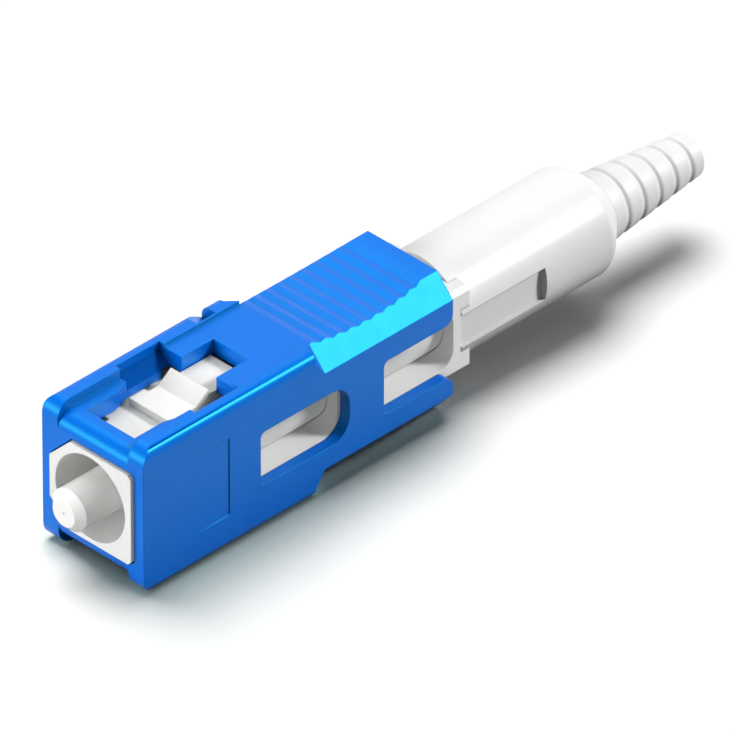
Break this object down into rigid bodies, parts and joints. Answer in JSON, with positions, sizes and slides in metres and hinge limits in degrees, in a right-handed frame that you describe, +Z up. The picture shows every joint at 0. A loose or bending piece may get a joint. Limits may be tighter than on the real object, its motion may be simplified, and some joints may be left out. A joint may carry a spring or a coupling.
{
  "type": "sc fibre connector",
  "caption": "Push-pull fibre optic plug with a square sliding housing, a sprung ceramic ferrule, a round rear sleeve and a short ribbed boot.",
  "frame": {"origin": "centre of the ferrule's end face, on the connector's axis", "axes": "+Y runs back along the axis from the ferrule to the boot, +X is the plug's right side, +Z is up"},
  "size_m": [0.0084, 0.0458, 0.009],
  "materials": {
    "housing_blue": "satin",
    "frame_white": "satin",
    "zirconia": "polished",
    "flange_metal": "satin",
    "tube_ptfe": "satin",
    "spring_steel": "satin",
    "ring_white": "satin",
    "crimp_metal": "satin",
    "sleeve_white": "satin",
    "boot_white": "matte"
  },
  "bodies": {
    "plug_body": {"plug_frame": "frame_white", "stop_ring": "ring_white", "crimp_ring": "crimp_metal", "rear_sleeve": "sleeve_white", "boot": "boot_white", "ferrule_spring": "spring_steel"},
    "housing": {"outer_housing": "housing_blue"},
    "ferrule_unit": {"ferrule": "zirconia", "ferrule_flange": "flange_metal", "guide_tube": "tube_ptfe"}
  },
  "joints": [
    {"name": "housing_slide", "type": "slide", "parent": "plug_body", "child": "housing", "axis": [0, 1, 0], "range_m": [-0.0002, 0.002]},
    {"name": "ferrule_slide", "type": "slide", "parent": "plug_body", "child": "ferrule_unit", "axis": [0, 1, 0], "range_m": [0, 0.0015], "stiffness_N_per_m": 2500, "springref_m": -0.0031, "deforming": ["ferrule_spring"]}
  ]
}
